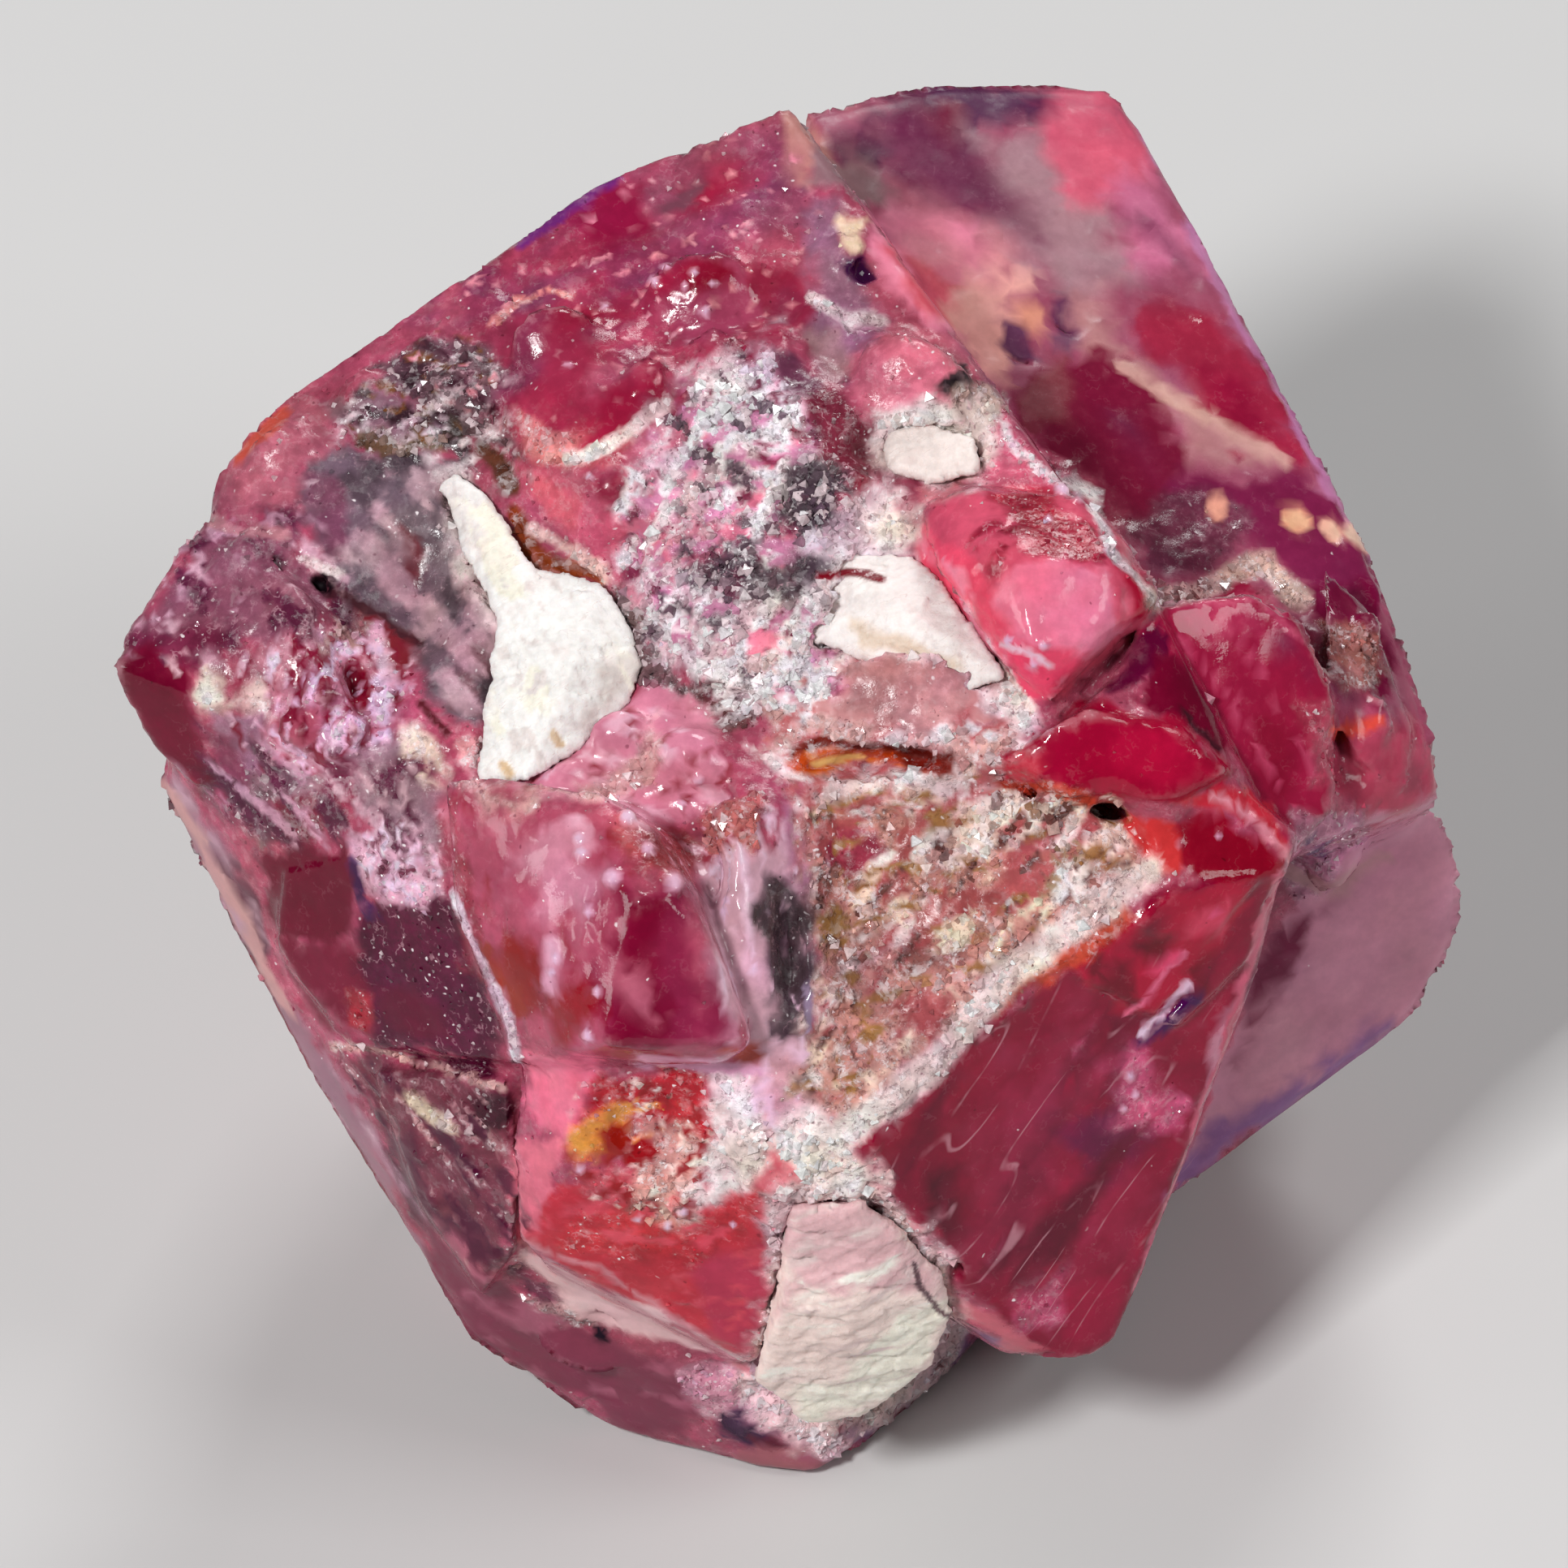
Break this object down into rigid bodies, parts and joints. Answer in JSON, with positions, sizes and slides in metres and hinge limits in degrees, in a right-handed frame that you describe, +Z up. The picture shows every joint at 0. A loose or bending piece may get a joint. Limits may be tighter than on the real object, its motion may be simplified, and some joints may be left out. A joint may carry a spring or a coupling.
{
  "type": "spinel crystal cluster",
  "caption": "Cluster of intergrown pink-red spinel octahedra with remnants of white calcite, resting on a flat face at its lower back.",
  "frame": {"origin": "middle of the bounding box's bottom, on the plane of the flat face that the stone rests on", "axes": "+X to the right across the broad side, +Y into the stone's back, +Z up; the broad side leans back 45 degrees and looks towards -Y and +Z"},
  "size_m": [0.015, 0.014, 0.012],
  "materials": {
    "spinel": "gloss",
    "calcite": "satin"
  },
  "bodies": {
    "root": {"spinel_crystals": "spinel", "calcite_saddle": "calcite", "calcite_foot": "calcite", "calcite_pocket": "calcite", "calcite_nook": "calcite"}
  },
  "joints": []
}
